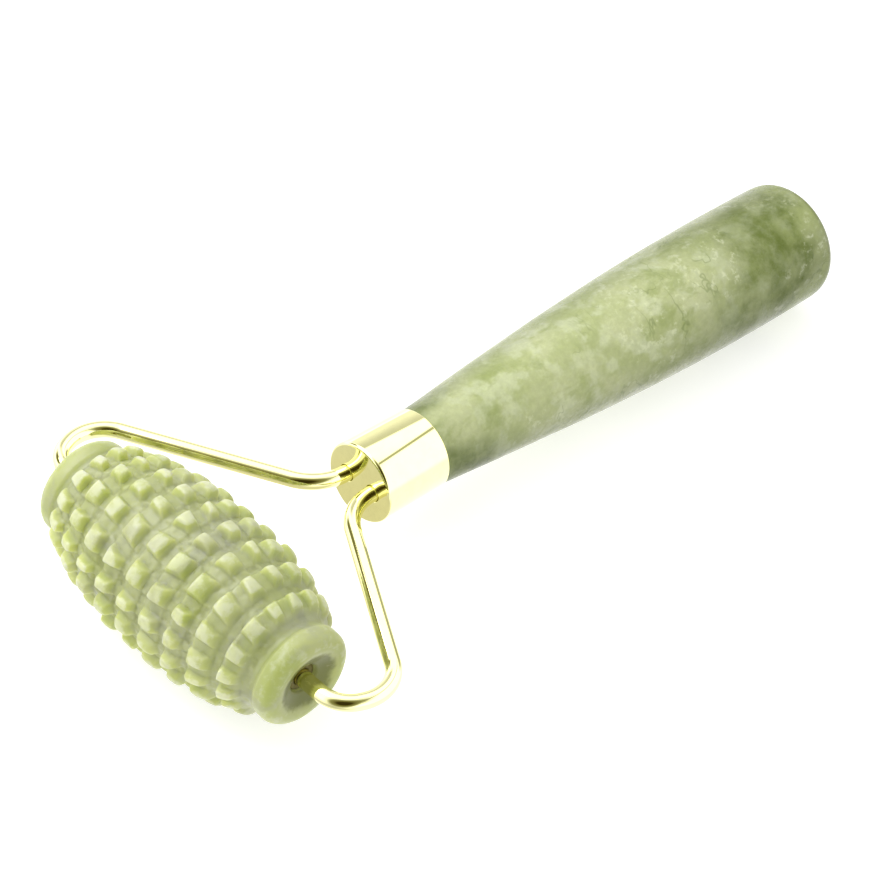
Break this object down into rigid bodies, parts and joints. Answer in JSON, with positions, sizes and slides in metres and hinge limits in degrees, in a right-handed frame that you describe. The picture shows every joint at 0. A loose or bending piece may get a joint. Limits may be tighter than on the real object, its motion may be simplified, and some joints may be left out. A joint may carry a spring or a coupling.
{
  "type": "face roller",
  "caption": "Hand-held stone massage roller: tapered handle, metal ferrule and two bent wire arms that carry a studded barrel on a spinning axis.",
  "frame": {"origin": "centre of the flat butt face of the handle", "axes": "+X along the handle from the butt to the roller, +Y along the roller's axis towards the left arm, +Z out of the plane of the two arms"},
  "size_m": [0.1388, 0.0662, 0.0254],
  "materials": {
    "handle_stone": "polished, mottled and veined green stone",
    "roller_stone": "tumbled, pale yellow-green stone, slightly translucent",
    "gold_metal": "mirror-polished pale gold plating",
    "bush_metal": "dull turned brass",
    "epoxy": "set amber adhesive"
  },
  "bodies": {
    "handle_frame": {"handle": "handle_stone", "ferrule": "gold_metal", "epoxy_plug": "epoxy", "left_arm": "gold_metal", "right_arm": "gold_metal"},
    "roller_assembly": {"roller": "roller_stone", "left_bush": "bush_metal", "right_bush": "bush_metal"}
  },
  "joints": [
    {"name": "roller_spin", "type": "hinge", "parent": "handle_frame", "child": "roller_assembly", "pos_m": [0.1261, 0, 0], "axis": [0, 1, 0], "continuous": true}
  ]
}
